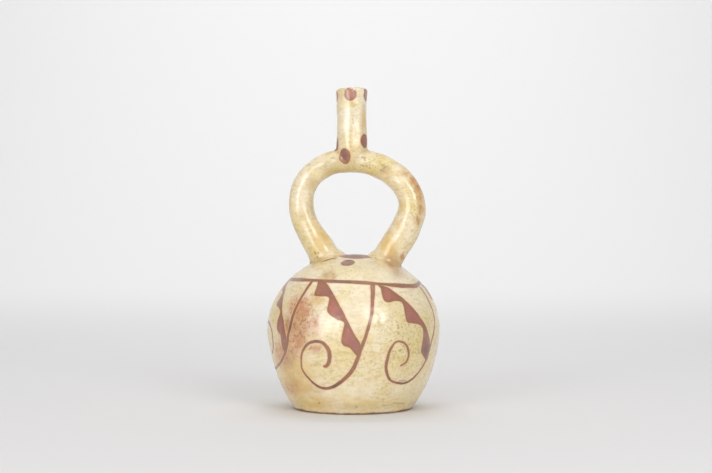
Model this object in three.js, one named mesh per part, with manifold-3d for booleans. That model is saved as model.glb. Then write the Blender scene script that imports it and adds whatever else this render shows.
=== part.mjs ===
// Stirrup spout vessel: one piece of fired clay, hollow from the chamber up through both arms to the spout.
// Millimetres, +Z up. The origin is the centre of the flat base, and the stirrup stands in the XZ plane.
import * as THREE from "three";
import { mergeVertices } from "three/addons/utils/BufferGeometryUtils.js";
import Module from "manifold-3d";

const wasm = await Module();
wasm.setup();

// Chamber, outside
const BELLY_RADIUS = 65;
const BELLY_Z = 58.5; // height of the widest circle
const DOME_TOP = 115.6;
const BASE_RADIUS = 44; // edge of the flat underside
const FOOT_RADIUS = 45.9; // outer end of the rounded foot edge
const FOOT_Z = 2.6;
const FOOT_CORNER = [45, 0.2]; // the corner that the foot edge rounds off
const FOOT_LEAN = THREE.MathUtils.degToRad(37.5); // lean of the wall from upright, just above the foot
const FOOT_PULL = 18.5; // how far the wall keeps that lean
const BELLY_PULL = 11; // how far the wall stays nearly upright below the widest circle

// Walls
const CHAMBER_WALL = 5;
const BASE_WALL = 7;
const ARM_WALL = 4.2;

// Stirrup: the centreline from the left foot, over the arch, to the right foot
const LEFT_LEG = [
  [-16.5, 106],
  [-24, 118],
  [-34.7, 134.5],
  [-40, 152],
];
const ARCH = [
  [-36.2, 169.5],
  [-22, 182.3],
  [-2, 185.9],
  [17, 182.8],
  [35, 171.6],
];
const RIGHT_LEG = [
  [44.4, 153],
  [39.2, 134.5],
  [28, 116.5],
  [21, 104.5],
];
// Outer radius of the arms at even steps along that centreline
const ARM_RADII = [11.3, 11, 9.7, 9.4, 9.2, 8.9, 8.8, 9.2, 9.7, 10.1, 11.2, 11.7, 11.6];
const FOOT_FILLET = 2.5; // where an arm runs out onto the dome

// Spout
const TOTAL_HEIGHT = 240;
const SPOUT_X = -1.3; // the spout stands a little left of the chamber's axis
const SPOUT_RADIUS = 11.7;
const SPOUT_WAIST = 0.3; // how much slimmer the shaft is half way up
const SPOUT_SEAT_Z = 196; // above this the shaft stands free of the arch
const ROOT_RADIUS = 7; // the shaft tapers down into the arch
const ROOT_Z = 180;
const LIP_ROUND = 1.3;

// Inside of the spout
const SPOUT_BORE = 7.6;
const BORE_END_RADIUS = 5;
const BORE_END_Z = 184;
const BORE_TAPER = 7; // height over which the bore narrows to its end
const PAST_RIM = 5; // the bore's cutter runs on past the rim

// Facets
const CHAMBER_SIDES = 48;
const HOLLOW_SIDES = 32;
const SPOUT_SIDES = 32;
const ARM_SIDES = 18;
const BORE_SIDES = 12;
const ARM_STEPS = 46;
const DOME_ROWS = 13;
const WALL_ROWS = 8;
const SHAFT_ROWS = 5;
const ROUND_ROWS = 3; // rows across a small rounded edge

const point = (radius, z) => new THREE.Vector2(radius, z);

// A closed geometry as a manifold-3d solid.
function solidOf(geometry) {
  const bare = geometry.index ? geometry.toNonIndexed() : geometry.clone();
  bare.deleteAttribute("normal");
  bare.deleteAttribute("uv");
  const merged = mergeVertices(bare, 1e-4);
  return new wasm.Manifold(
    new wasm.Mesh({
      numProp: 3,
      vertProperties: merged.attributes.position.array,
      triVerts: new Uint32Array(merged.index.array),
    }),
  );
}

// A manifold-3d solid as a flat-shaded geometry.
function geometryOf(solid) {
  const mesh = solid.getMesh();
  const geometry = new THREE.BufferGeometry();
  geometry.setAttribute("position", new THREE.BufferAttribute(mesh.vertProperties, 3));
  geometry.setIndex(new THREE.BufferAttribute(mesh.triVerts, 1));
  const faceted = geometry.toNonIndexed();
  faceted.computeVertexNormals();
  return faceted;
}

// A solid of revolution about +Z, from a profile that starts and ends on the axis.
function turned(profile, sides, x = 0) {
  const lathe = new THREE.LatheGeometry(profile, sides);
  lathe.rotateX(Math.PI / 2);
  lathe.translate(x, 0, 0);
  return solidOf(lathe);
}

// A rounded corner from one profile point to another.
function rounded(from, corner, to, rows) {
  return new THREE.QuadraticBezierCurve(from, corner, to).getPoints(rows);
}

// Height of the dome's outside at a distance from the axis.
function domeHeight(radius) {
  const share = Math.min(1, radius / BELLY_RADIUS);
  return BELLY_Z + (DOME_TOP - BELLY_Z) * Math.sqrt(1 - share * share);
}

// The chamber's outside from the edge of the underside up to the last row before the apex.
function chamberProfile() {
  const foot = rounded(
    point(BASE_RADIUS, 0),
    point(...FOOT_CORNER),
    point(FOOT_RADIUS, FOOT_Z),
    ROUND_ROWS,
  );
  const wall = new THREE.CubicBezierCurve(
    point(FOOT_RADIUS, FOOT_Z),
    point(FOOT_RADIUS + FOOT_PULL * Math.sin(FOOT_LEAN), FOOT_Z + FOOT_PULL * Math.cos(FOOT_LEAN)),
    point(BELLY_RADIUS, BELLY_Z - BELLY_PULL),
    point(BELLY_RADIUS, BELLY_Z),
  );
  const dome = [];
  for (let row = 1; row < DOME_ROWS; row++) {
    const turn = (row / DOME_ROWS) * (Math.PI / 2);
    dome.push(
      point(BELLY_RADIUS * Math.cos(turn), BELLY_Z + (DOME_TOP - BELLY_Z) * Math.sin(turn)),
    );
  }
  return [...foot, ...wall.getPoints(WALL_ROWS).slice(1), ...dome];
}

function chamberOutside() {
  return turned([point(0, 0), ...chamberProfile(), point(0, DOME_TOP)], CHAMBER_SIDES);
}

// The hollow is the outside's form drawn in by the walls, with half as many rows.
function chamberHollow() {
  const top = DOME_TOP - CHAMBER_WALL;
  const rise = (top - BASE_WALL) / DOME_TOP;
  const inside = chamberProfile()
    .filter((_, row) => row % 2 === 0)
    .map((p) => point(p.x - CHAMBER_WALL * Math.min(1, p.x / BASE_RADIUS), BASE_WALL + p.y * rise));
  return turned([point(0, BASE_WALL), ...inside, point(0, top)], HOLLOW_SIDES);
}

function stirrupLine() {
  const points = [...LEFT_LEG, ...ARCH, ...RIGHT_LEG].map(([x, z]) => new THREE.Vector3(x, 0, z));
  return new THREE.CatmullRomCurve3(points, false, "centripetal");
}

// Outer radius of an arm at a share of the centreline's length, before the fillets at its feet.
function armRadius(share) {
  const place = share * (ARM_RADII.length - 1);
  const low = Math.min(Math.floor(place), ARM_RADII.length - 2);
  return THREE.MathUtils.lerp(ARM_RADII[low], ARM_RADII[low + 1], place - low);
}

// How far the fillet stands out from the arm at a height above the dome.
function filletReach(above) {
  const short = FOOT_FILLET - THREE.MathUtils.clamp(above, 0, FOOT_FILLET);
  return FOOT_FILLET - Math.sqrt(FOOT_FILLET * FOOT_FILLET - short * short);
}

// A tube along a curve in the XZ plane, with its own radius at every share of the way.
function sweptTube(curve, radiusAt, sides, steps) {
  const tube = new THREE.CylinderGeometry(1, 1, 1, sides, steps);
  const position = tube.attributes.position;
  for (let i = 0; i < position.count; i++) {
    const share = position.getY(i) + 0.5;
    const centre = curve.getPointAt(share);
    const along = curve.getTangentAt(share);
    const radius = radiusAt(share, centre);
    const out = position.getX(i) * radius;
    position.setXYZ(i, centre.x - along.z * out, position.getZ(i) * radius, centre.z + along.x * out);
  }
  return solidOf(tube);
}

function stirrupOutside() {
  const radiusAt = (share, centre) =>
    armRadius(share) + filletReach(centre.z - domeHeight(Math.abs(centre.x)));
  return sweptTube(stirrupLine(), radiusAt, ARM_SIDES, ARM_STEPS);
}

function stirrupBore() {
  return sweptTube(stirrupLine(), (share) => armRadius(share) - ARM_WALL, BORE_SIDES, ARM_STEPS);
}

// The spout's root, its slightly waisted shaft, and a rounded lip round a level rim.
function spoutOutside() {
  const root = rounded(
    point(ROOT_RADIUS, ROOT_Z),
    point(SPOUT_RADIUS, (ROOT_Z + SPOUT_SEAT_Z) / 2),
    point(SPOUT_RADIUS, SPOUT_SEAT_Z),
    ROUND_ROWS,
  );
  const lipZ = TOTAL_HEIGHT - LIP_ROUND;
  const shaft = [];
  for (let row = 1; row < SHAFT_ROWS; row++) {
    const share = row / SHAFT_ROWS;
    const waist = SPOUT_WAIST * Math.sin(Math.PI * share);
    shaft.push(point(SPOUT_RADIUS - waist, THREE.MathUtils.lerp(SPOUT_SEAT_Z, lipZ, share)));
  }
  const lip = rounded(
    point(SPOUT_RADIUS, lipZ),
    point(SPOUT_RADIUS, TOTAL_HEIGHT),
    point(SPOUT_RADIUS - LIP_ROUND, TOTAL_HEIGHT),
    ROUND_ROWS,
  );
  return turned(
    [point(0, ROOT_Z), ...root, ...shaft, ...lip, point(0, TOTAL_HEIGHT)],
    SPOUT_SIDES,
    SPOUT_X,
  );
}

function spoutBore() {
  const end = rounded(
    point(BORE_END_RADIUS, BORE_END_Z),
    point(SPOUT_BORE, BORE_END_Z),
    point(SPOUT_BORE, BORE_END_Z + BORE_TAPER),
    ROUND_ROWS,
  );
  const top = TOTAL_HEIGHT + PAST_RIM;
  return turned([point(0, BORE_END_Z), ...end, point(SPOUT_BORE, top), point(0, top)], HOLLOW_SIDES, SPOUT_X);
}

function vesselSolid() {
  const outside = chamberOutside().add(stirrupOutside()).add(spoutOutside());
  const hollow = chamberHollow().add(stirrupBore()).add(spoutBore());
  return outside.subtract(hollow);
}

const creamSlip = new THREE.MeshStandardMaterial({ color: 0xe3cf98, roughness: 0.45, metalness: 0 });

const vessel = new THREE.Mesh(geometryOf(vesselSolid()), creamSlip);
vessel.name = "vessel";

const part = new THREE.Group();
part.add(vessel);

export default part;
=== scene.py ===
"""Looks of the stirrup spout vessel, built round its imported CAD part, for Blender 4.5.

The clay skin is the CAD node's own surface, remeshed finely and smoothed, with small dents, a worn rim and
small marks in real relief. The painting is laid out round the chamber in longitude (degrees, 0 midway
between the arms, growing to the right) and height (millimetres). Each vertex carries its distance to the
nearest painted edge, and the slip's material turns that into brushed paint.
"""
import math

import bmesh
import bpy
import numpy as np
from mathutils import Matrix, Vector


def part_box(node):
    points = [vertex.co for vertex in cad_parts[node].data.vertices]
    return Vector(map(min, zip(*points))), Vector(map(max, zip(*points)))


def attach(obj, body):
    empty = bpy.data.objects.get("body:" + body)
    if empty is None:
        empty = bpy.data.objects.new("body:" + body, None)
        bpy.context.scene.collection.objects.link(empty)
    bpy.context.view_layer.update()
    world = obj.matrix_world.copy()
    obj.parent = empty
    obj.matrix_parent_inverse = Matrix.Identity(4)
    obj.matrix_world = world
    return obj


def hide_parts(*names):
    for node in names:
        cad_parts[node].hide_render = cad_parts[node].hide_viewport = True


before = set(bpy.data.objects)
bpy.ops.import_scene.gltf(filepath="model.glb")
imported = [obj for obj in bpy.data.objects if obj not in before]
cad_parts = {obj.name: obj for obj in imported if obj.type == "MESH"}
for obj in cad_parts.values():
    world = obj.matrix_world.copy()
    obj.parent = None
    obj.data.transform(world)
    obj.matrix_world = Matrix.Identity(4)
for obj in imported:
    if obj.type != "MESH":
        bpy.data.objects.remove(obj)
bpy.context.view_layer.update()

MM = 0.001
NODE = "vessel"

# Lengths are in millimetres and angles in degrees, except where a comment says otherwise.

# The part's own sizes: its height from the frame, the rest as its CAD source has them
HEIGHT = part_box(NODE)[1][2] / MM
DOME_TOP = 115.6
SPOUT_X = -1.3
SPOUT_RADIUS = 11.7
LEFT_FOOT = ((-16.5, 106), (-24, 118), 11.3)  # two points x, z of the arm's centreline, and its radius
RIGHT_FOOT = ((21, 104.5), (28, 116.5), 11.7)

# Skin
VOXEL = 1.15  # spacing of the even mesh
FIRST_ROUNDS = 30  # rounds of smoothing everywhere
LATER_ROUNDS = 55  # rounds of smoothing away from the creases at the arms and the spout
SHRINK, SWELL = 0.5, 0.508  # shares of the way to the neighbours' middle, in and back out, in a round
CREASE_BEND = 0.05  # a vertex this far inside its neighbours' middle lies in a full crease
CREASE_SPREAD = 8  # rounds in which a crease spreads over the vertices beside it
RIM_EDGE = 0.45  # the outside ends this far below the top of the rim
MOUTH_DEPTH = 24  # the bore is kept fine down to this depth
INSIDE_KEPT = 0.12  # share of the hidden inside's faces that is kept
FINE_ZONE = (1.7, 0.9)  # distances from a painted edge within which the mesh is halved, then halved again

# Hand-made unevenness
WAVE_COUNT = 18  # plane waves in one smooth noise
SHOULDER_SHIFT = 0.2  # the shoulder leans this far to the right
SHOULDER_Z = (58, 116)  # between these heights
ARMS_FROM = (112, 124)  # heights over which the chamber's small dents give way to the arms'
SPOUT_FROM = (196, 203)  # heights over which the spout's own dents set in
FOOT_FULL = (1.5, 109.2, 3.3)  # swelling at the arms' outer feet: how far out, its height, its reach
FOOT_FULL_FROM = (24, 29)  # distances from the axis over which that swelling sets in
RIGHT_FOOT_SHARE = 0.2  # the right foot swells by this share of the left one's
SHOULDER_FULL = (0.6, 86, 14)  # swellings on the right of the shoulder and of the lower wall
LOWER_FULL = (0.75, 28, 15)
RIM_TILT = 0.55  # the rim is this much higher on its right, and as much lower on its left
RIM_TILT_FROM = 215  # height at which that slope sets in
RIM_WEAR = 3.5  # wear and chips fade out this far below the rim
CHIPS = ((-118, 9, 1), (-70, 4, 0.7), (-38, 5, 0.6), (35, 8, 0.9), (118, 6, 1))  # bearing, width, share
CHIP_DEPTH = 0.4

# Painting
CHAMBER_PAINT_TO = 100  # the row of motifs lies below this height
DOME_PAINT_FROM = 96  # the dome's shapes lie above this one
SPOUT_PAINT_FROM = 178  # and the spout's dots above this one
DOME_OVAL = (2.8, 0, 14.5, 21.3)  # on top of the dome between the arms: x, y, half width, half depth
DOME_DOT = 5.2  # radius of the two dots on the dome
DOME_DOT_OUT = 28.8  # and their distance from the axis
ARM_CLEAR = 3.0  # the oval's paint stops this far short of the arms
BAND_HEIGHT = 93.8
BAND_TILT = 3.2  # the band stands this much higher at the longitude below, and lower opposite it
BAND_TILT_AT = -50
BAND_RISE = 3.4  # the band climbs this much where it passes under the right arm
BAND_RISE_AT = (62, 94, 105, 170)  # longitudes where the climb begins, is complete, fades and is gone
BAND_HALF = 1.6  # half its width
BAND_BROAD = 0.65  # it is this much broader, each way, just before it climbs
BAND_BROAD_AT = (32, 50, 66, 76)  # longitudes of that stretch, in the same order
CURVE_STEP = 0.25  # spacing of a smooth curve's points, as a share of the way between the given ones
FAR = 9.0  # painted distances are cut off here

# Stains, painted light and shade, and small marks
PATCH_FALL = 1.6  # how steeply a stain fades over its reach
MARK_DEPTH = 0.12  # how deep the small marks are

# Where the materials change, as heights: those where a change begins and where it is complete, and for a
# zone also those where it begins to fade and is gone
BARE_FOOT = (2.2, 0.8)
DEEP_LOW = (36, 24)
DOME_ZONE = (103, 107, 120, 130)
OVAL_ZONE = (108.5, 111.5, 122, 130)
ROSY_RIM = (226, 236)
WORN_RIM = (233.5, 238.5)
PAPER_BEND = (0, 60)

# Camera, level, at about the middle height of the vessel
CAMERA_TURN = 8.0  # to the right of straight in front of the stirrup
CAMERA_DISTANCE = 1050
CAMERA_HEIGHT = 128.7
CAMERA_ASIDE = 1.96  # the vessel stands this far left of the middle of the picture
LENS = 70.5

# Setting, in metres
AIM = Vector((0, 0, 0.12))  # the softboxes point here
BEND_STEPS = 16  # facets in the backdrop's bend


def smoothstep(low, high, value):
    t = np.clip((value - low) / (high - low), 0, 1)
    return t * t * (3 - 2 * t)


def plateau(value, begins, complete, fades, gone):
    """1 on a stretch, falling smoothly to 0 on either side of it."""
    return smoothstep(begins, complete, value) * smoothstep(gone, fades, value)


def wrapped(turn):
    """Degrees brought between -180 and 180."""
    return (turn + 180) % 360 - 180


def waves(points, length, seed):
    """Smooth seeded noise about 0, with a spread of 1, from plane waves about that long."""
    random = np.random.default_rng(seed)
    directions = random.normal(size=(WAVE_COUNT, 3))
    directions /= np.linalg.norm(directions, axis=1)[:, None]
    lengths = length * random.uniform(0.75, 1.35, WAVE_COUNT)
    phases = random.uniform(0, 2 * math.pi, WAVE_COUNT)
    total = np.zeros(len(points))
    for direction, size, phase in zip(directions, lengths, phases):
        total += np.sin(points @ direction * (2 * math.pi / size) + phase)
    return total * math.sqrt(2 / WAVE_COUNT)


def new_object(name, data):
    made = bpy.data.objects.new(name, data)
    bpy.context.scene.collection.objects.link(made)
    return made


# ---------------------------------------------------------------- the skin's mesh


def even_mesh():
    """The CAD node's surface as one even mesh of quads."""
    copy = new_object("even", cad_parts[NODE].data.copy())
    remesh = copy.modifiers.new("even", "REMESH")
    remesh.mode = "VOXEL"
    remesh.voxel_size = VOXEL * MM
    mesh = evaluated_mesh(copy)
    bpy.data.objects.remove(copy)
    return mesh


def evaluated_mesh(piece):
    depsgraph = bpy.context.evaluated_depsgraph_get()
    return bpy.data.meshes.new_from_object(piece.evaluated_get(depsgraph))


def points_of(mesh):
    flat = np.empty(len(mesh.vertices) * 3)
    mesh.vertices.foreach_get("co", flat)
    return flat.reshape(-1, 3) / MM


def set_points(mesh, points):
    mesh.vertices.foreach_set("co", (points * MM).ravel())
    mesh.update()


def edges_of(mesh):
    flat = np.empty(len(mesh.edges) * 2, np.int64)
    mesh.edges.foreach_get("vertices", flat)
    return flat.reshape(-1, 2)


def normals_of(mesh):
    flat = np.empty(len(mesh.vertices) * 3)
    mesh.vertex_normals.foreach_get("vector", flat)
    return flat.reshape(-1, 3)


def pull(points, edges, counts):
    """From each vertex to the middle of its neighbours."""
    total = np.empty_like(points)
    for axis in range(points.shape[1]):
        values = points[:, axis]
        total[:, axis] = np.bincount(edges[:, 0], values[edges[:, 1]], len(points))
        total[:, axis] += np.bincount(edges[:, 1], values[edges[:, 0]], len(points))
    return total / counts[:, None] - points


def smooth(points, edges, rounds, share=1.0):
    """Takes out facets and keeps the size: each round shrinks a little and swells back."""
    counts = np.bincount(edges.ravel(), minlength=len(points))
    for _ in range(rounds):
        points = points + SHRINK * share * pull(points, edges, counts)
        points = points - SWELL * share * pull(points, edges, counts)
    return points


def creases(mesh, edges):
    """1 along the creases at the feet of the arms and the spout, fading out some way off."""
    points = points_of(mesh)
    counts = np.bincount(edges.ravel(), minlength=len(points))
    inward = np.sum(pull(points, edges, counts) * normals_of(mesh), axis=1)
    crease = np.clip(inward / CREASE_BEND, 0, 1)[:, None]
    for _ in range(CREASE_SPREAD):
        crease = np.maximum(crease, crease + 0.6 * pull(crease, edges, counts))
    return crease[:, 0]


def outer_vertices(mesh):
    """True for each vertex of the outside, found by spreading from the base up to the rim's edge."""
    top = HEIGHT - RIM_EDGE
    links = [[] for _ in mesh.vertices]
    for a, b in edges_of(mesh).tolist():
        links[a].append(b)
        links[b].append(a)
    heights = points_of(mesh)[:, 2]
    outer = np.zeros(len(heights), bool)
    waiting = [int(np.argmin(heights))]
    outer[waiting[0]] = True
    while waiting:
        vertex = waiting.pop()
        if heights[vertex] > top:
            continue
        for other in links[vertex]:
            if not outer[other]:
                outer[other] = True
                waiting.append(other)
    return outer


def unevenness(points, normals, outer):
    """Dents, a leaning shoulder and a worn, slightly sloping rim. Returns the moved points."""
    x, y, z = points.T
    clear_of_base = smoothstep(0.2, 6, z)
    dents = 0.16 * waves(points, 44, 3) + 0.07 * waves(points, 17, 5)
    stretched = points * np.array([1, 1, 0.3])
    on_arms = smoothstep(*ARMS_FROM, z)
    dents += on_arms * (0.09 * waves(stretched, 8, 8) + 0.06 * waves(points, 13, 10))
    dents += smoothstep(*SPOUT_FROM, z) * 0.09 * waves(stretched, 7, 12)
    dents += (1 - on_arms) * (0.05 * waves(points, 9, 9) + 0.03 * waves(points, 5, 11))
    moved = points + normals * (dents * clear_of_base * outer)[:, None]
    moved[:, 0] += lean(z)
    moved += normals * (fullness(points, normals) * outer)[:, None]
    around = np.arctan2(y, x - SPOUT_X)
    slope = RIM_TILT * (x - SPOUT_X) / SPOUT_RADIUS
    ring = np.stack([np.cos(around), np.sin(around), np.zeros(len(z))], axis=1) * 10
    wear = 0.1 * waves(ring, 9, 21) + 0.07 * waves(ring, 4, 22) + CHIP_DEPTH * chips(around)
    moved[:, 2] += slope * smoothstep(RIM_TILT_FROM, HEIGHT, z)
    moved[:, 2] -= wear * smoothstep(HEIGHT - RIM_WEAR, HEIGHT, z)
    moved[:, 2] = np.where(z < 0.12, 0, np.clip(moved[:, 2], 0, None))
    return moved


def lean(height):
    """How far the shoulder leans to the right at a height."""
    bottom, top = SHOULDER_Z
    share = np.clip((height - bottom) / (top - bottom), 0, 1)
    return SHOULDER_SHIFT * np.sin(math.pi * share)


def swelling(z, most, height, reach):
    return most * np.exp(-(((z - height) / reach) ** 2))


def fullness(points, normals):
    """Clay that stands out a little more at the arms' outer feet and on the right of the chamber."""
    x, y, z = points.T
    feet = swelling(z, *FOOT_FULL) * smoothstep(0.5, 0.8, np.abs(normals[:, 0]))
    feet *= smoothstep(*FOOT_FULL_FROM, np.abs(x)) * np.where(x > 0, RIGHT_FOOT_SHARE, 1)
    toward_right = np.clip(x / np.maximum(np.hypot(x, y), 1), 0, 1) ** 2
    lower_wall = swelling(z, *LOWER_FULL) * smoothstep(1, 8, z)
    return feet + (swelling(z, *SHOULDER_FULL) + lower_wall) * toward_right


def chips(around):
    """Small losses along the rim, with bearings that count from the right-hand side."""
    total = np.zeros(len(around))
    for bearing, width, share in CHIPS:
        total += swelling(wrapped(np.degrees(around) - bearing), share, 0, width)
    return total


# ---------------------------------------------------------------- places on the chamber


class Chamber:
    """The chamber's outline, read from the skin, as the length along the wall at each height."""

    def __init__(self, points, outer):
        x, y, z = points.T
        clear = outer & (np.abs(y) > 0.5 * np.hypot(x, y)) & (z < DOME_TOP + 1)
        self.heights = np.arange(0.5, DOME_TOP, 1.0)
        rows = np.clip(np.floor(z[clear]).astype(int), 0, len(self.heights) - 1)
        sums = np.bincount(rows, np.hypot(x, y)[clear], len(self.heights))
        counts = np.bincount(rows, minlength=len(self.heights))
        radii = sums / np.maximum(counts, 1)
        steps = np.hypot(np.diff(self.heights), np.diff(radii))
        self.lengths = np.concatenate([[0], np.cumsum(steps)])

    def along(self, height):
        return np.interp(height, self.heights, self.lengths)


def curve_through(points, closed=False):
    """A smooth run of points through the given ones, which may carry a width as a third number."""
    points = np.array(points, float)
    if closed:
        run = np.vstack([points[-1], points, points[:2]])
    else:
        run = np.vstack([2 * points[0] - points[1], points, 2 * points[-1] - points[-2]])
    out = []
    steps = np.arange(0, 1, CURVE_STEP)[:, None]
    for a, b, c, d in zip(run, run[1:], run[2:], run[3:]):
        bend = 2 * a - 5 * b + 4 * c - d
        twist = -a + 3 * b - 3 * c + d
        out.append(b + 0.5 * steps * (c - a + steps * (bend + steps * twist)))
    if not closed:
        out.append(points[-1:])
    return np.vstack(out)


def segment_distance(ax, ay, bx, by):
    """Distance from 0, 0 to each segment, and the share of the way along it."""
    dx, dy = bx - ax, by - ay
    share = np.clip(-(ax * dx + ay * dy) / np.maximum(dx * dx + dy * dy, 1e-9), 0, 1)
    return np.hypot(ax + share * dx, ay + share * dy), share


def band_height(longitude):
    climb = BAND_RISE * plateau(longitude, *BAND_RISE_AT)
    return BAND_HEIGHT + BAND_TILT * np.cos(np.radians(longitude - BAND_TILT_AT)) + climb


def band_half(longitude):
    return BAND_HALF + BAND_BROAD * plateau(longitude, *BAND_BROAD_AT)


class Painting:
    """Gathers painted shapes as one signed distance for each vertex, in mm, below 0 inside the paint."""

    def __init__(self, points, outer, chamber):
        self.points = points
        self.chamber = chamber
        x, y, z = points.T
        self.longitude = np.degrees(np.arctan2(x, -y))
        self.radius = np.hypot(x, y)
        self.along = chamber.along(z)
        self.on_chamber = outer & (z < CHAMBER_PAINT_TO)
        self.on_dome = outer & (z > DOME_PAINT_FROM) & (z < DOME_TOP + 3)
        near_spout = np.hypot(x - SPOUT_X, y) < SPOUT_RADIUS + 2
        self.on_spout = outer & (z > SPOUT_PAINT_FROM) & near_spout
        self.distance = np.full(len(points), FAR)

    def add(self, chosen, distance):
        self.distance[chosen] = np.minimum(self.distance[chosen], distance)

    def add_below_band(self, chosen, distance):
        above = self.along[chosen] - self.chamber.along(band_height(self.longitude[chosen]))
        self.add(chosen, np.maximum(distance, above))

    def offsets(self, chosen, longitudes, alongs):
        """Sideways and lengthways mm from each chosen vertex to each of a run of places."""
        turn = wrapped(longitudes[None, :] - self.longitude[chosen][:, None])
        side = np.radians(turn) * self.radius[chosen][:, None]
        return side, alongs[None, :] - self.along[chosen][:, None]

    def close_to(self, longitudes, alongs):
        """Vertices of the chamber in a box round a run of places, wider than it by FAR each way."""
        middle = (longitudes.min() + longitudes.max()) / 2
        half = (longitudes.max() - longitudes.min()) / 2 + FAR
        beside = np.abs(wrapped(self.longitude - middle)) < half
        level = (self.along > alongs.min() - FAR) & (self.along < alongs.max() + FAR)
        return np.flatnonzero(self.on_chamber & level & beside)

    def stroke(self, places):
        """A brush stroke through (longitude, height, width)."""
        run = curve_through(places)
        longitudes, alongs, widths = run[:, 0], self.chamber.along(run[:, 1]), run[:, 2]
        chosen = self.close_to(longitudes, alongs)
        side, up = self.offsets(chosen, longitudes, alongs)
        reach, share = segment_distance(side[:, :-1], up[:, :-1], side[:, 1:], up[:, 1:])
        half = (widths[:-1] + share * (widths[1:] - widths[:-1])) / 2
        self.add_below_band(chosen, np.min(reach - half, axis=1))

    def fill(self, places):
        """A filled shape with a closed outline through (longitude, height)."""
        outline = curve_through(places, closed=True)
        outline = np.vstack([outline, outline[:1]])
        longitudes, alongs = outline[:, 0], self.chamber.along(outline[:, 1])
        chosen = self.close_to(longitudes, alongs)
        side, up = self.offsets(chosen, longitudes, alongs)
        ax, ay, bx, by = side[:, :-1], up[:, :-1], side[:, 1:], up[:, 1:]
        reach = np.min(segment_distance(ax, ay, bx, by)[0], axis=1)
        crosses = (ay > 0) != (by > 0)
        rise = np.where(by == ay, 1, by - ay)
        right = ax - ay * (bx - ax) / rise > 0
        inside = np.sum(crosses & right, axis=1) % 2 == 1
        self.add_below_band(chosen, np.where(inside, -reach, reach))

    def band(self):
        """The thin line round the shoulder, a little higher on one side and broader in one stretch."""
        chosen = np.flatnonzero(self.on_chamber | self.on_dome)
        ring = self.points[chosen] * np.array([1, 1, 0])
        height = band_height(self.longitude[chosen]) + 0.22 * waves(ring, 40, 31)
        half = band_half(self.longitude[chosen]) + 0.18 * waves(ring, 26, 32)
        self.add(chosen, np.abs(self.along[chosen] - self.chamber.along(height)) - half)

    def dome_oval(self, x, y, half_x, half_y):
        """An oval painted on the dome, as seen from above. It stops short of the arms."""
        chosen = np.flatnonzero(self.on_dome)
        px, py, pz = self.points[chosen].T
        outward = (np.hypot((px - x) / half_x, (py - y) / half_y) - 1) * min(half_x, half_y)
        for (ax, az), (bx, bz), radius in (LEFT_FOOT, RIGHT_FOOT):
            aside = ((px - ax) * (bz - az) - (pz - az) * (bx - ax)) / math.hypot(bx - ax, bz - az)
            outward = np.maximum(outward, radius + ARM_CLEAR - np.hypot(aside, py))
        self.add(chosen, outward)

    def dome_line(self, places):
        """A thin line on the dome through (x, y, width), as seen from above."""
        chosen = np.flatnonzero(self.on_dome)
        run = curve_through(places)
        half = (run[:-1, 2] + run[1:, 2]) / 4
        px, py, _ = self.points[chosen].T
        ax, ay = run[:-1, 0] - px[:, None], run[:-1, 1] - py[:, None]
        bx, by = run[1:, 0] - px[:, None], run[1:, 1] - py[:, None]
        self.add(chosen, np.min(segment_distance(ax, ay, bx, by)[0] - half, axis=1))

    def spout_dot(self, bearing, height, across, tall):
        """An oval dot on the spout, centred on a bearing from the front."""
        chosen = np.flatnonzero(self.on_spout)
        x, y, z = self.points[chosen].T
        turn = wrapped(np.degrees(np.arctan2(x - SPOUT_X, -y)) - bearing)
        side = np.radians(turn) * SPOUT_RADIUS / (across / 2)
        up = (z - height) / (tall / 2)
        self.add(chosen, (np.hypot(side, up) - 1) * min(across, tall) / 2)


# Long strokes that curl up into a spiral: longitude from the stroke's top, height, width
WIDE_CURL = [
    (0, 95, 3.8), (-2.4, 84, 2.9), (-3.8, 74.5, 2.5), (-5.8, 67, 2.4), (-8.3, 57.7, 2.5),
    (-11, 49.5, 2.7), (-13, 42.7, 2.9), (-16, 35, 3), (-21.3, 28.1, 2.9), (-29.7, 21.9, 2.6),
    (-37.3, 19.8, 2.3), (-44, 21.7, 2), (-50, 27.1, 1.8), (-53.7, 33.2, 1.6), (-53.3, 40, 1.6),
    (-51.3, 45.8, 1.8), (-47.7, 50.9, 2.1), (-42.6, 53.8, 2.3), (-36.8, 53.7, 2.5), (-33, 50, 2.9),
    (-31.5, 45.4, 3.2), (-32, 40.3, 3), (-33.8, 37, 2.7), (-35.6, 36.2, 2.4),
]
TALL_CURL = [
    (-1.6, 93, 2.1), (-0.8, 80.6, 2), (0, 74.5, 1.8), (0.2, 67.2, 1.8), (-2, 60.8, 2), (-5, 51, 2),
    (-7, 42.8, 2), (-9, 37.8, 2), (-13.5, 31.2, 1.9), (-20, 25.4, 1.8), (-26.3, 22.9, 1.8),
    (-32, 23, 1.8), (-39.7, 25.2, 1.7), (-43.7, 29.8, 2.1), (-45.4, 36, 2.5), (-45, 42.3, 2.5),
    (-43.5, 48.4, 2.2), (-40.8, 52.8, 1.7), (-37.7, 54, 1.6), (-33, 52.1, 1.8), (-30, 47.8, 2.1),
    (-28.7, 42.9, 2.1), (-30, 38.6, 1.9), (-34, 36.2, 1.6),
]
HIGH_CURL = [
    (0, 96, 2.6), (-3.2, 82.5, 2.4), (-5, 74.3, 2.5), (-6.4, 66, 2.6), (-7.8, 59.1, 2.6),
    (-10, 50.6, 2.5), (-14.4, 43.6, 2.4), (-21.5, 37.4, 2.3), (-28.4, 34, 2.2), (-40, 30.6, 2),
    (-50, 32.6, 2.2), (-56.5, 40, 2.2), (-56.5, 52, 2), (-51, 61, 2), (-42.5, 65.2, 2), (-35.7, 63.6, 2),
    (-30, 59.2, 2.1), (-29, 52.7, 2.2), (-31, 46.5, 2.1), (-36, 42.5, 1.8),
]

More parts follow.
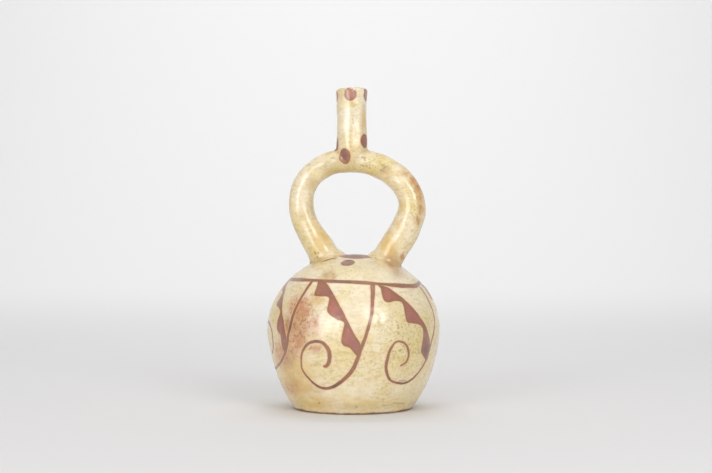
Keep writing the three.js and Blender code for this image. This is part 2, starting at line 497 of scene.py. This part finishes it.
# Stepped wedges: longitude from their stroke's top, height. Down the stepped left side, up the right.
EVEN_WEDGE = [
    (-47.5, 96.5), (-46.8, 93), (-46.6, 88.8), (-46, 86.4), (-41.5, 85.7), (-36, 85.8), (-33.7, 84.6),
    (-33.4, 81.7), (-33.8, 77.6), (-32.9, 74.4), (-29.9, 71.9), (-25.8, 69.5), (-22.9, 68.7),
    (-21.7, 67), (-22.4, 62.9), (-23.6, 55), (-22.1, 51.6), (-18.1, 49.6), (-12.8, 43.5),
    (-11, 51.3), (-15.2, 59.9), (-19.2, 68.3), (-23.6, 77.3), (-31.8, 89), (-41, 96.4),
]
DEEP_WEDGE = [
    (-47.5, 93.9), (-46.5, 91.1), (-46.7, 86.9), (-46.4, 83.6), (-44.9, 82), (-41.4, 81.5), (-38, 82.5),
    (-32.7, 81.7), (-31.7, 78.5), (-31.8, 73.9), (-31.8, 69.8), (-30.9, 67.1), (-26.6, 66.2),
    (-21.3, 65.3), (-17.8, 63), (-16.9, 58.9), (-17.5, 51.9), (-17.3, 45.6), (-14.8, 42.7), (-7, 38.2),
    (-6.6, 50.4), (-10.8, 57.8), (-13.6, 63.5), (-19, 71.3), (-24.4, 78.3), (-30.2, 84.6),
    (-35.3, 88.8), (-40.5, 92.4),
]
SHORT_WEDGE = [
    (-44.5, 97), (-43.4, 91.6), (-40, 89.2), (-33, 87.3), (-31.7, 83.1), (-33, 79.6), (-31, 77.8),
    (-25.5, 76.5), (-21.3, 74.1), (-21.3, 70.4), (-22, 66.7), (-21.7, 61.7), (-19.3, 59.2),
    (-16.4, 56.5), (-16.2, 50.3), (-14.5, 44.9), (-10, 53), (-11.5, 61), (-14.6, 68), (-19.4, 75),
    (-23, 81), (-28.3, 87.8), (-35.5, 92.6), (-40, 97),
]

# Motifs round the chamber: longitude of the stroke's top, how wide the curl is drawn, curl, wedge
MOTIFS = [
    (-30, 1, HIGH_CURL, SHORT_WEDGE),
    (24, 1, WIDE_CURL, EVEN_WEDGE),
    (76, 1, TALL_CURL, DEEP_WEDGE),
    (130, 0.84, TALL_CURL, DEEP_WEDGE),
    (180, 0.9, WIDE_CURL, EVEN_WEDGE),
    (230, 0.9, HIGH_CURL, SHORT_WEDGE),
    (280, 0.9, WIDE_CURL, EVEN_WEDGE),
]

# Dots on the spout: bearing, height, width, height of the oval
SPOUT_DOTS = [
    (3, 235.1, 10.2, 10.4), (81, 236.5, 10, 12.4), (176, 235, 10, 10.5), (-79, 234.4, 9.8, 10),
    (-20.5, 188.7, 10, 11.8), (66, 200.2, 9.8, 11), (155, 192, 9.8, 11.5), (-75, 198, 9.6, 11.5),
]

# Thin line in front of the left arm's foot, and the same behind the right one: x, y, width
FOOT_LINE = [
    (-21, -19, 1.8), (-18.5, -18.8, 4), (-15, -18.2, 4.5), (-12.5, -17.4, 3.4), (-10.8, -16.8, 1.4),
]


def painted_distance(points, outer, chamber):
    painting = Painting(points, outer, chamber)
    painting.band()
    for top, spread, curl, wedge in MOTIFS:
        painting.stroke([(top + spread * turn, height, width) for turn, height, width in curl])
        painting.fill([(top + turn, height) for turn, height in wedge])
    painting.dome_oval(*DOME_OVAL)
    painting.dome_oval(0, -DOME_DOT_OUT, DOME_DOT, DOME_DOT)
    painting.dome_oval(0, DOME_DOT_OUT, DOME_DOT, DOME_DOT)
    for side in (-1, 1):
        painting.dome_line([(side * x, side * y, width) for x, y, width in FOOT_LINE])
    for dot in SPOUT_DOTS:
        painting.spout_dot(*dot)
    return np.clip(painting.distance, -FAR, FAR)


# ---------------------------------------------------------------- stains, painted light and shade, and small marks

# Soft stains, and patches of painted light and shade, as seen from one side: bearing of that side,
# sideways place, height, their reaches, strength. dark and umber tint the paint, the others the slip.
STAINS_AND_PAINTED_LIGHT = {
    "rust": [
        (8, 39, 175, 5, 3.5, 0.6), (8, 44.5, 171, 4, 5, 0.9), (8, 48, 164.5, 4, 7, 1),
        (8, 49.5, 157, 4, 8, 0.9), (8, 50, 149, 4, 8, 0.8), (8, 47.5, 141, 4.5, 7, 0.7),
        (8, 36.5, 113.5, 2.4, 4, 1), (190, -44, 162, 5, 12, 0.7), (100, 6, 24, 14, 8, 0.5),
    ],
    # Partly darker paint, partly painted shade on the wedges towards the chamber's sides
    "dark": [
        (8, -6.5, 188.5, 8, 8, 0.9), (8, 12, 200, 8, 8, 0.7), (8, 11, 234, 3, 8, 1.1),
        (8, 52, 46, 9, 13, 1.1), (8, -47, 62, 6, 24, 0.6), (8, -14, 88, 7, 6, 0.55),
        (8, 38, 24, 5, 3, 0.8), (8, 34, 88, 6, 5, 0.5), (188, 0, 190, 12, 12, 0.6),
    ],
    # Partly ochre slip, partly painted shade under the arch and along the edges of the arms
    "ochre": [
        (8, -12, 178, 14, 5, 0.9), (8, 12, 177, 14, 5, 0.8), (8, -31, 168, 7, 9, 0.6),
        (8, -25, 127, 9, 16, 1), (8, 26, 122, 10, 16, 1), (8, 34, 135, 6, 10, 0.6),
        (8, 36, 150, 6, 12, 0.6), (8, -50, 156, 5, 22, 0.75), (8, 8, 215, 4, 16, 0.7),
        (8, -42, 24, 22, 24, 0.9), (8, -30, 8, 24, 10, 0.9), (8, 6, 8, 40, 6, 0.45),
        (8, 40, 30, 22, 20, 0.2), (8, -55, 70, 9, 22, 0.6), (190, 0, 60, 40, 30, 0.5),
        (188, 25, 130, 9, 16, 0.8), (188, -25, 128, 8, 16, 0.8), (188, 0, 178, 24, 5, 0.8),
    ],
    # Painted shade: a grey tan under the arch, on the arms and the spout, and low on the wall
    "painted_shade": [
        (8, -11, 181, 20, 8, 1.15), (8, -33, 168, 5, 9, 0.8), (8, 20, 178, 12, 5, 0.7),
        (8, -31, 150, 3, 14, 0.6), (8, -38, 140, 10, 32, 0.42), (8, 36, 128, 9, 14, 0.36),
        (8, -1, 212, 10, 24, 0.36), (8, 0, 6, 46, 6, 0.5), (8, 38, 60, 16, 24, 0.4),
        (188, 0, 179, 26, 6, 0.8), (188, -20, 30, 30, 12, 0.5),
    ],
    "rose": [
        (8, -37.5, 75, 13, 17, 0.95), (8, -43, 57, 13, 18, 1.15), (8, -27, 49, 9, 6, 0.7),
        (8, -46, 17, 13, 9, 0.6), (8, -52, 44, 10, 16, 0.8), (8, -32, 66, 14, 12, 0.8),
        (8, -27, 84, 8, 8, 0.5), (8, 29, 109, 8, 8, 0.35), (8, 24, 178, 6, 5, 0.4),
        (8, 44, 168, 5, 8, 0.4), (200, 25, 60, 16, 14, 0.8),
    ],
    "brown": [
        (8, -17.5, 99.6, 7, 5, 1.3), (8, 29, 111, 8, 11, 0.8), (8, 33, 103, 9, 7, 0.7),
        (8, 22.5, 178, 5, 4, 0.6), (8, -41, 66, 14, 18, 0.55), (8, -47, 40, 9, 14, 0.8),
        (8, -44, 24, 12, 14, 0.5), (8, -30, 18, 16, 8, 0.4), (185, -20, 100, 9, 5, 0.8),
        (200, 30, 112, 9, 9, 0.6),
    ],
    "umber": [
        (8, -50, 84, 18, 22, 1), (8, -34, 92, 22, 8, 0.9), (188, 40, 70, 20, 24, 0.7),
    ],
    # Partly paler slip, partly painted light: a brighter shoulder and lower wall, and bright streaks on
    # the spout and the right arm
    "pale": [
        (8, 10, 101, 34, 12, 1.3), (8, 2, 78, 16, 14, 0.8), (8, 60, 66, 8, 26, 0.3),
        (8, 33, 180, 6, 3.5, 0.9), (8, 38, 172, 5, 8, 0.6), (8, -5, 214, 5, 20, 0.7),
        (8, 8, 58, 12, 14, 0.2), (8, 4, 17, 22, 8, 0.8), (8, 36, 19, 18, 14, 0.8),
        (8, 26, 64, 8, 14, 0.5), (8, 51, 158, 4, 20, 0.5), (190, 10, 96, 30, 12, 0.8),
        (190, -30, 70, 16, 16, 0.6),
    ],
    "specks": [
        (8, 39, 54, 25, 30, 1.1), (8, 10, 40, 22, 12, 0.6), (8, 38, 20, 16, 14, 0.4),
        (8, -6, 104, 26, 9, 0.6), (8, 14, 180, 14, 8, 0.9), (8, 47, 150, 10, 20, 0.8),
        (8, -29, 116, 7, 8, 0.8), (190, -20, 50, 30, 24, 0.9),
    ],
}
# Small dark marks as the camera sees them: from and to, each sideways place and height, then width
MARKS = [
    ((-28.7, 116.2), (-28.2, 115.8), 1.3), ((-26.2, 116.4), (-26, 116), 0.9),
    ((-26.9, 113.4), (-26.6, 112.6), 0.9), ((6.3, 187.9), (8.6, 187.2), 1.4),
    ((8.3, 185.8), (9, 185.6), 0.9), ((5.2, 181.9), (10.6, 180.7), 0.8),
    ((-16.8, 187.3), (-14.8, 187.8), 0.9), ((22.5, 179.5), (26, 181.5), 0.7),
    ((20.5, 178.4), (22.5, 177.6), 0.7), ((-1, 216.8), (0.2, 212.6), 0.7),
    ((49.5, 152), (49.8, 149), 0.7), ((47.3, 144.5), (47.6, 140), 0.8), ((49, 142), (48.6, 137), 0.6),
    ((-24.8, 8.3), (-24.4, 8.2), 1.3), ((29, 8), (37, 6.8), 0.7), ((21, 6.6), (24, 6.4), 0.6),
    ((2, 6.3), (2.6, 6.2), 1), ((33.5, 24.6), (37.5, 24.4), 1.4),
]


def seen_from(points, normals, bearing):
    """Sideways place of each vertex as seen from a bearing, and how far it faces that way, 0 to 1."""
    turn = math.radians(bearing)
    across = points[:, 0] * math.cos(turn) + points[:, 1] * math.sin(turn)
    facing = normals[:, 0] * math.sin(turn) - normals[:, 1] * math.cos(turn)
    return across, smoothstep(-0.35, 0.05, facing)


# Shares at each vertex of the soft stains and of the patches of painted light and shade
def stain_or_painted_light_shares(points, normals, stains):
    total = np.zeros(len(points))
    for bearing, across, height, reach_across, reach_height, strength in stains:
        side, facing = seen_from(points, normals, bearing)
        apart = ((side - across) / reach_across) ** 2 + ((points[:, 2] - height) / reach_height) ** 2
        total = np.maximum(total, strength * facing * np.exp(-PATCH_FALL * apart))
    return total


def mark_distance(points, normals):
    """Distance in mm to the nearest small mark's edge, below 0 inside it."""
    across, facing = seen_from(points, normals, CAMERA_TURN)
    nearest = np.full(len(points), FAR)
    for start, end, width in MARKS:
        ax, ay = start[0] - across, start[1] - points[:, 2]
        bx, by = end[0] - across, end[1] - points[:, 2]
        nearest = np.minimum(nearest, segment_distance(ax, ay, bx, by)[0] - width / 2)
    return np.where(facing > 0.5, nearest, FAR)


# ---------------------------------------------------------------- building the piece


def thin_inside(mesh, outer):
    """Keeps the outside and the mouth fine, and cuts down the hidden inside."""
    piece = new_object("thin", mesh)
    hidden = ~outer & (points_of(mesh)[:, 2] < HEIGHT - MOUTH_DEPTH)
    group = piece.vertex_groups.new(name="hidden")
    group.add(np.flatnonzero(hidden).tolist(), 1.0, "REPLACE")
    thin = piece.modifiers.new("thin", "DECIMATE")
    thin.vertex_group = "hidden"
    thin.ratio = 1 - hidden.mean() * (1 - INSIDE_KEPT)
    result = evaluated_mesh(piece)
    bpy.data.objects.remove(piece)
    return result


def refine(mesh, chamber, zone):
    """Halves the edges that lie near the edge of the paint or of a small mark."""
    outer = read(mesh, "outer") > 0.5
    points = points_of(mesh)
    distance = np.abs(painted_distance(points, outer, chamber))
    distance = np.minimum(distance, np.abs(mark_distance(points, normals_of(mesh))))
    build = bmesh.new()
    build.from_mesh(mesh)
    build.edges.ensure_lookup_table()
    chosen = [
        edge for edge in build.edges
        if distance[edge.verts[0].index] < zone and distance[edge.verts[1].index] < zone
    ]
    bmesh.ops.subdivide_edges(build, edges=chosen, cuts=1, use_grid_fill=True)
    bmesh.ops.triangulate(build, faces=build.faces)
    build.to_mesh(mesh)
    build.free()


def write(mesh, name, values):
    """Keeps one value for each vertex under a name that the material can read."""
    attribute = mesh.attributes.get(name) or mesh.attributes.new(name, "FLOAT", "POINT")
    attribute.data.foreach_set("value", np.asarray(values, np.float32))


def read(mesh, name):
    values = np.empty(len(mesh.vertices), np.float32)
    mesh.attributes[name].data.foreach_get("value", values)
    return values


def build_skin():
    """The skin's mesh, with what the material needs to know at each vertex."""
    mesh = even_mesh()
    edges = edges_of(mesh)
    set_points(mesh, smooth(points_of(mesh), edges, FIRST_ROUNDS))
    crease = creases(mesh, edges)
    away = np.clip(1 - 1.5 * crease, 0, 1)[:, None]
    set_points(mesh, smooth(points_of(mesh), edges, LATER_ROUNDS, away))
    outer = outer_vertices(mesh)
    write(mesh, "crease", crease * outer)
    chamber = Chamber(points_of(mesh), outer)
    set_points(mesh, unevenness(points_of(mesh), normals_of(mesh), outer))
    write(mesh, "outer", outer)
    mesh = thin_inside(mesh, outer)
    for zone in FINE_ZONE:
        refine(mesh, chamber, zone)
    outer = read(mesh, "outer") > 0.5
    points, normals = points_of(mesh), normals_of(mesh)
    marks = np.where(outer, mark_distance(points, normals), FAR)
    set_points(mesh, points - normals * (MARK_DEPTH * smoothstep(0.3, -0.3, marks))[:, None])
    write(mesh, "paint", painted_distance(points, outer, chamber))
    write(mesh, "marks", marks)
    # The soft stains and the painted light and shade, as attributes for the material
    for name, stains in STAINS_AND_PAINTED_LIGHT.items():
        write(mesh, name, stain_or_painted_light_shares(points, normals, stains) * outer)
    mesh.shade_smooth()
    mesh.name = "vessel_skin"
    return mesh


# ---------------------------------------------------------------- materials


class Nodes:
    """Short ways to add shader nodes to a material."""

    def __init__(self, name):
        self.material = bpy.data.materials.new(name)
        self.material.use_nodes = True
        self.tree = self.material.node_tree
        self.shader = self.tree.nodes["Principled BSDF"]

    def add(self, kind, inputs=None, **settings):
        node = self.tree.nodes.new(kind)
        for name, value in settings.items():
            setattr(node, name, value)
        for name, value in (inputs or {}).items():
            self.put(node.inputs[name], value)
        return node

    def put(self, socket, value):
        if isinstance(value, bpy.types.NodeSocket):
            self.tree.links.new(value, socket)
        else:
            socket.default_value = value

    def attribute(self, name):
        return self.add("ShaderNodeAttribute", attribute_name=name).outputs["Fac"]

    def noise(self, scale, detail, rough, offset=(0, 0, 0), flat=1.0):
        """Noise about 0.5, its features about 1 / scale metres long, and flatter by the last factor."""
        where = self.place(offset, flat)
        inputs = {"Scale": scale, "Detail": detail, "Roughness": rough, "Vector": where}
        return self.add("ShaderNodeTexNoise", inputs).outputs["Fac"]

    def centred(self, scale, spread):
        """Noise about 0, reaching about half the spread either way."""
        noise = self.noise(scale, 3, 0.6, (0.15, 0.35, 0))
        return self.math("MULTIPLY", self.math("SUBTRACT", noise, 0.5), spread)

    def place(self, offset=(0, 0, 0), flat=1.0):
        where = self.add("ShaderNodeTexCoord").outputs["Object"]
        inputs = {0: where, 1: (1, 1, flat), 2: offset}
        return self.add("ShaderNodeVectorMath", inputs, operation="MULTIPLY_ADD").outputs["Vector"]

    def height(self):
        return self.add("ShaderNodeSeparateXYZ", {"Vector": self.place()}).outputs["Z"]

    def math(self, operation, a, b=0.0, clamp=False):
        node = self.add("ShaderNodeMath", {0: a, 1: b}, operation=operation, use_clamp=clamp)
        return node.outputs[0]

    def ramp(self, value, low, high, to_low=0.0, to_high=1.0):
        inputs = {"Value": value, "From Min": low, "From Max": high, "To Min": to_low, "To Max": to_high}
        node = self.add("ShaderNodeMapRange", inputs, interpolation_type="SMOOTHSTEP")
        return node.outputs["Result"]

    def change(self, height, begins, complete, to_low=0.0, to_high=1.0):
        """A change from the first value to the second between two heights in millimetres."""
        return self.ramp(height, begins * MM, complete * MM, to_low, to_high)

    def zone(self, begins, complete, fades, gone):
        """1 in a zone of heights in millimetres, 0 below and above it."""
        height = self.height()
        lower_end = self.change(height, begins, complete)
        upper_end = self.change(height, gone, fades)
        return self.math("MULTIPLY", lower_end, upper_end)

    def mix(self, share, a, b, kind="MIX"):
        node = self.add("ShaderNodeMix", data_type="RGBA", blend_type=kind)
        self.put(node.inputs["Factor"], share)
        self.put(node.inputs[6], a)
        self.put(node.inputs[7], b)
        return node.outputs[2]


def colour(red, green, blue):
    """A colour from 0 to 255 screen values, as the linear values that a shader takes."""
    linear = [((value / 255 + 0.055) / 1.055) ** 2.4 for value in (red, green, blue)]
    return (*linear, 1)


CREAM = colour(236, 216, 168)
PALE_CREAM = colour(244, 231, 203)
OCHRE = colour(222, 186, 108)
OLIVE = colour(220, 200, 118)
ROSE = colour(198, 130, 88)
RUST_ORANGE = colour(196, 108, 46)
TAN = colour(180, 134, 82)
SPECK = colour(142, 102, 58)
HALO = colour(232, 178, 134)
MAROON = colour(158, 95, 88)
RED_BROWN = colour(176, 104, 86)
THIN_BROWN = colour(142, 98, 62)
DEEP_BROWN = colour(100, 70, 36)
# The tint of the painted shade under the arch, on the arms and low down
PAINTED_SHADE_TAN = colour(196, 178, 132)
DARK_MAROON = colour(104, 60, 50)
BARE_CLAY = colour(150, 118, 88)
FLECK = colour(160, 104, 66)
SHADE = colour(226, 216, 200)
GRIME = colour(112, 82, 52)
DOME_BROWN = colour(120, 76, 48)
WORN_ROSE = colour(208, 150, 132)
# Painted shade: the flat floor's grey is darker than the wall's
FLOOR_GREY = colour(228, 227, 227)
WALL_GREY = colour(238, 238, 238)

# Looks of each stain and each painted light or shade: tint, how strong it gets, and the noise that breaks
# it up
STAIN_AND_PAINTED_LIGHT_LOOKS = [
    # Partly paler slip, partly painted light
    ("pale", PALE_CREAM, 0.9, 80, (0.2, 0.2, 0.9)),
    # Partly ochre slip, partly painted shade
    ("ochre", OCHRE, 0.95, 90, (0.8, 0.4, 0)),
    # Painted shade under the arch, on the arms, the spout and low down
    ("painted_shade", PAINTED_SHADE_TAN, 0.8, 100, (0.4, 0.6, 0.4)),
    ("rose", ROSE, 0.9, 150, (0.1, 0.4, 0)),
    ("brown", TAN, 0.8, 170, (0.6, 0.4, 0.2)),
    ("rust", RUST_ORANGE, 0.85, 230, (0.5, 0.1, 0.2)),
]


def slip_colour(n, fine):
    """Cream slip, unevenly wiped: pale and ochre patches, then a fine mottle of light and shade."""
    base = n.mix(n.ramp(n.noise(30, 4, 0.6), 0.38, 0.64), PALE_CREAM, CREAM)
    base = n.mix(n.ramp(n.noise(56, 4, 0.65, (0.3, 0, 0), 1.8), 0.48, 0.72, 0, 0.5), base, OCHRE)
    base = n.mix(n.ramp(n.noise(40, 4, 0.65, (0.7, 0.2, 0), 1.8), 0.48, 0.7, 0, 0.5), base, OLIVE)
    mottle = n.noise(200, 3, 0.6, (0.2, 0.9, 0), 2.2)
    base = n.mix(n.ramp(mottle, 0.46, 0.68, 0, 0.62), base, SHADE, "MULTIPLY")
    return n.mix(n.ramp(fine, 0.5, 0.76, 0, 0.6), base, SHADE, "MULTIPLY")


def lay_stain_or_painted_light(n, base, name, tint, strongest, scale, offset):
    """Lays one kind of soft staining, painted light or painted shade over the slip, broken up by noise."""
    cloud = n.ramp(n.noise(scale, 5, 0.7, offset), 0.34, 0.6, 0.55, 1)
    share = n.math("MULTIPLY", n.ramp(n.attribute(name), 0.05, 0.95), cloud)
    return n.mix(n.math("MULTIPLY", share, strongest), base, tint)


def flecked(n, base):
    """Red-brown flecks where the slip is rosy or rusty."""
    reddened = n.math("MAXIMUM", n.attribute("rose"), n.math("MULTIPLY", n.attribute("rust"), 0.8))
    flecks = n.ramp(n.noise(360, 4, 0.72, (0.3, 0.3, 0.7)), 0.5, 0.62)
    flecks = n.math("MULTIPLY", flecks, n.ramp(reddened, 0.1, 0.75, 0, 0.8))
    return n.mix(flecks, base, FLECK)


def speckled(n, base):
    """Olive zones full of small brown spots, and a few such spots everywhere."""
    scattered = n.ramp(n.noise(36, 3, 0.6, (0.9, 0.3, 0.6)), 0.54, 0.74, 0, 0.7)
    zones = n.math("MAXIMUM", n.attribute("specks"), scattered)
    base = n.mix(n.math("MULTIPLY", zones, 0.5), base, OLIVE)
    spots = n.ramp(n.noise(520, 3, 0.7, (0.4, 0, 0.8)), 0.5, 0.7, 0, 0.75)
    return n.mix(n.math("MULTIPLY", spots, n.math("ADD", zones, 0.09, True)), base, SPECK)


def crease_shade_and_mark_dirt(n, base):
    """Painted shade in the creases at the feet of the arms and the spout, and dirt in the small marks."""
    crease = n.math("MULTIPLY", n.attribute("crease"), n.ramp(n.noise(160, 4, 0.6), 0.3, 0.6, 0.3, 1))
    base = n.mix(n.math("MULTIPLY", crease, 0.5), base, TAN)
    marks = n.math("ADD", n.attribute("marks"), n.centred(520, 0.7))
    return n.mix(n.ramp(marks, 0.45, -0.45, 0, 0.5), base, GRIME)


def aged_slip_with_painted_light(n, fine):
    """The slip with its stains, painted light and shade, flecks, specks and dirt."""
    base = slip_colour(n, fine)
    for look in STAIN_AND_PAINTED_LIGHT_LOOKS:
        base = lay_stain_or_painted_light(n, base, *look)
    return crease_shade_and_mark_dirt(n, speckled(n, flecked(n, base)))


def paint_colour(n, edge):
    """Uneven red-brown paint, browner on the dome and in thin strokes, rosier near the rim."""
    height = n.height()
    body = n.mix(n.ramp(n.noise(85, 4, 0.6), 0.36, 0.66), MAROON, RED_BROWN)
    # Darker paint, and painted shade on the wedges towards the sides
    body = n.mix(n.math("MULTIPLY", n.attribute("dark"), 0.75), body, DARK_MAROON)
    body = n.mix(n.math("MULTIPLY", n.attribute("umber"), 0.7), body, THIN_BROWN)
    body = n.mix(n.math("MULTIPLY", n.zone(*DOME_ZONE), 0.7), body, DOME_BROWN)
    body = n.mix(n.change(height, *ROSY_RIM, 0, 0.4), body, WORN_ROSE)
    uneven = n.ramp(n.noise(130, 3, 0.6, (0.5, 0.5, 0)), 0.35, 0.6, 0.5, 0.95)
    thin = n.math("MULTIPLY", n.ramp(edge, -2.6, -1.2), uneven)
    patches = n.ramp(n.noise(22, 3, 0.6, (0.1, 0.1, 0.4)), 0.5, 0.64)
    deep = n.math("MAXIMUM", n.change(height, *DEEP_LOW), patches)
    body = n.mix(thin, body, n.mix(deep, THIN_BROWN, DEEP_BROWN))
    return n.mix(n.ramp(n.noise(240, 4, 0.65, (0.2, 0.6, 0.1)), 0.48, 0.78, 0, 0.4), body, ROSE)


def painted(n, base, fine):
    """Lays the paint over the slip, with soft brushed edges, a faint halo and wear at the rim."""
    edge = n.math("ADD", n.attribute("paint"), n.centred(300, 0.8))
    grain = n.ramp(n.noise(420, 3, 0.6), 0.42, 0.56)
    worn = n.math("MULTIPLY", n.change(n.height(), *WORN_RIM), grain)
    edge = n.math("ADD", edge, n.math("MULTIPLY", worn, 1.6))
    halo = n.ramp(n.math("ABSOLUTE", n.math("SUBTRACT", edge, 0.3)), 0.75, 0.1, 0, 0.5)
    base = n.mix(halo, base, HALO)
    cover = n.math("MULTIPLY", n.ramp(edge, 0.2, -0.3), n.ramp(fine, 0.6, 0.85, 0.98, 0.75))
    return n.mix(cover, base, paint_colour(n, edge))


def bare_clay(n):
    """1 on the underside, the worn foot and the inside, where there is no slip."""
    underside = n.change(n.math("ADD", n.height(), n.centred(90, 0.003)), *BARE_FOOT)
    return n.math("MAXIMUM", underside, n.math("SUBTRACT", 1.0, n.attribute("outer"), True))


def burnish(n, bare):
    """The sheen: none on bare clay, and less on the painted oval."""
    on_oval = n.math("MULTIPLY", n.zone(*OVAL_ZONE), n.ramp(n.attribute("paint"), 0.2, -0.3, 0, 0.55))
    n.put(n.shader.inputs["Coat Weight"], n.ramp(n.math("ADD", bare, on_oval, True), 0, 1, 0.9, 0))
    n.shader.inputs["Specular IOR Level"].default_value = 0.3
    n.shader.inputs["Coat Roughness"].default_value = 0.27
    n.shader.inputs["Coat IOR"].default_value = 1.72


def fine_relief(n, fine):
    """A very low relief for the burnisher's traces and the grain."""
    coarse = n.math("MULTIPLY", n.noise(160, 4, 0.55), 0.06)
    relief = n.math("ADD", coarse, n.math("MULTIPLY", fine, 0.012))
    bump = n.add("ShaderNodeBump", {"Height": relief, "Strength": 1.0, "Distance": MM})
    n.put(n.shader.inputs["Normal"], bump.outputs["Normal"])
    n.put(n.shader.inputs["Coat Normal"], bump.outputs["Normal"])


def slip_material():
    """Burnished cream slip over reddish clay, with its painting, stains, wear, and painted light and
    shade.
    """
    n = Nodes("slipped clay")
    fine = n.noise(560, 3, 0.6)
    bare = bare_clay(n)
    base = painted(n, aged_slip_with_painted_light(n, fine), fine)
    base = n.mix(bare, base, n.mix(n.ramp(fine, 0.4, 0.7), BARE_CLAY, TAN))
    rough = n.ramp(n.noise(45, 4, 0.6), 0.3, 0.7, 0.36, 0.5)
    rough = n.math("ADD", rough, n.math("MULTIPLY", bare, 0.35), True)
    n.put(n.shader.inputs["Base Color"], base)
    n.put(n.shader.inputs["Roughness"], rough)
    fine_relief(n, fine)
    burnish(n, bare)
    return n.material


def backdrop_material():
    """Pale paper, with painted shade: greyer where it lies flat."""
    n = Nodes("pale paper")
    grey = n.mix(n.change(n.height(), *PAPER_BEND), FLOOR_GREY, WALL_GREY)
    n.put(n.shader.inputs["Base Color"], grey)
    n.shader.inputs["Roughness"].default_value = 0.9
    n.shader.inputs["Specular IOR Level"].default_value = 0.2
    return n.material


# ---------------------------------------------------------------- the piece and its setting


def make_vessel():
    skin = new_object("vessel_skin", build_skin())
    skin.data.materials.clear()
    skin.data.materials.append(slip_material())
    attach(skin, "root")
    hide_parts(NODE)


def make_backdrop():
    """A pale sweep, in metres: floor, a wide bend and a wall far behind."""
    half_width, front, bend_start, bend, wall_top = 4.0, -2.5, 0.6, 0.9, 4.0
    profile = [(front, 0.0), (bend_start, 0.0)]
    for step in range(1, BEND_STEPS + 1):
        turn = step / BEND_STEPS * math.pi / 2
        profile.append((bend_start + bend * math.sin(turn), bend * (1 - math.cos(turn))))
    profile.append((bend_start + bend, wall_top))
    vertices = [(side * half_width, y, z) for y, z in profile for side in (-1, 1)]
    faces = [(i, i + 1, i + 3, i + 2) for i in range(0, len(vertices) - 2, 2)]
    mesh = bpy.data.meshes.new("sweep")
    mesh.from_pydata(vertices, [], faces)
    mesh.shade_smooth()
    mesh.materials.append(backdrop_material())
    sweep = new_object("sweep", mesh)
    sweep.rotation_euler.z = math.radians(CAMERA_TURN)


def area_light(name, width, height, watts, place, target):
    """A rectangular light at a place, turned towards its target."""
    light = bpy.data.lights.new(name, "AREA")
    light.shape = "RECTANGLE"
    light.size, light.size_y, light.energy = width, height, watts
    lamp = new_object(name, light)
    lamp.location = place
    lamp.rotation_euler = (target - place).to_track_quat("-Z", "Y").to_euler()
    return lamp


def softbox(name, bearing, elevation, distance, width, height, watts):
    """A light aimed at the vessel. Bearings count from the camera, to the right."""
    turn, lift = math.radians(bearing + CAMERA_TURN), math.radians(elevation)
    toward = Vector((math.sin(turn) * math.cos(lift), -math.cos(turn) * math.cos(lift), math.sin(lift)))
    area_light(name, width, height, watts, AIM + distance * toward, AIM)


def wall_light():
    """Lifts the wall behind the vessel, most in the middle."""
    turn = math.radians(CAMERA_TURN)
    behind, up = Vector((-math.sin(turn), math.cos(turn), 0)), Vector((0, 0, 1))
    lamp = area_light("wall_light", 1.0, 0.5, 8.5, 0.5 * behind + 1.6 * up, 1.4 * behind + 0.45 * up)
    lamp.visible_glossy = False


def make_lights():
    softbox("left_softbox", -35, 11, 1.5, 0.62, 0.62, 6.7)
    softbox("right_softbox", 29, 22, 1.5, 0.62, 0.5, 6.8)
    softbox("front_fill", 10, 42, 2.0, 2.2, 1.3, 2.2)
    softbox("top_softbox", 0, 78, 1.8, 1.4, 1.4, 4.6)
    wall_light()
    world = bpy.data.worlds.new("studio")
    world.use_nodes = True
    background = world.node_tree.nodes["Background"]
    background.inputs["Color"].default_value = (1, 1, 1, 1)
    background.inputs["Strength"].default_value = 0.43
    bpy.context.scene.world = world


def make_camera():
    lens = bpy.data.cameras.new("camera")
    lens.lens = LENS
    lens.sensor_width = 36
    lens.clip_start, lens.clip_end = 0.05, 30
    camera = new_object("camera", lens)
    turn = math.radians(CAMERA_TURN)
    x = CAMERA_DISTANCE * math.sin(turn) + CAMERA_ASIDE * math.cos(turn)
    y = -CAMERA_DISTANCE * math.cos(turn) + CAMERA_ASIDE * math.sin(turn)
    camera.location = (x * MM, y * MM, CAMERA_HEIGHT * MM)
    camera.rotation_euler = (math.pi / 2, 0, turn)
    bpy.context.scene.camera = camera


make_camera()
make_vessel()
make_backdrop()
make_lights()
scene = bpy.context.scene
scene.view_settings.view_transform = "Standard"
scene.view_settings.look = "None"
bpy.context.view_layer.update()
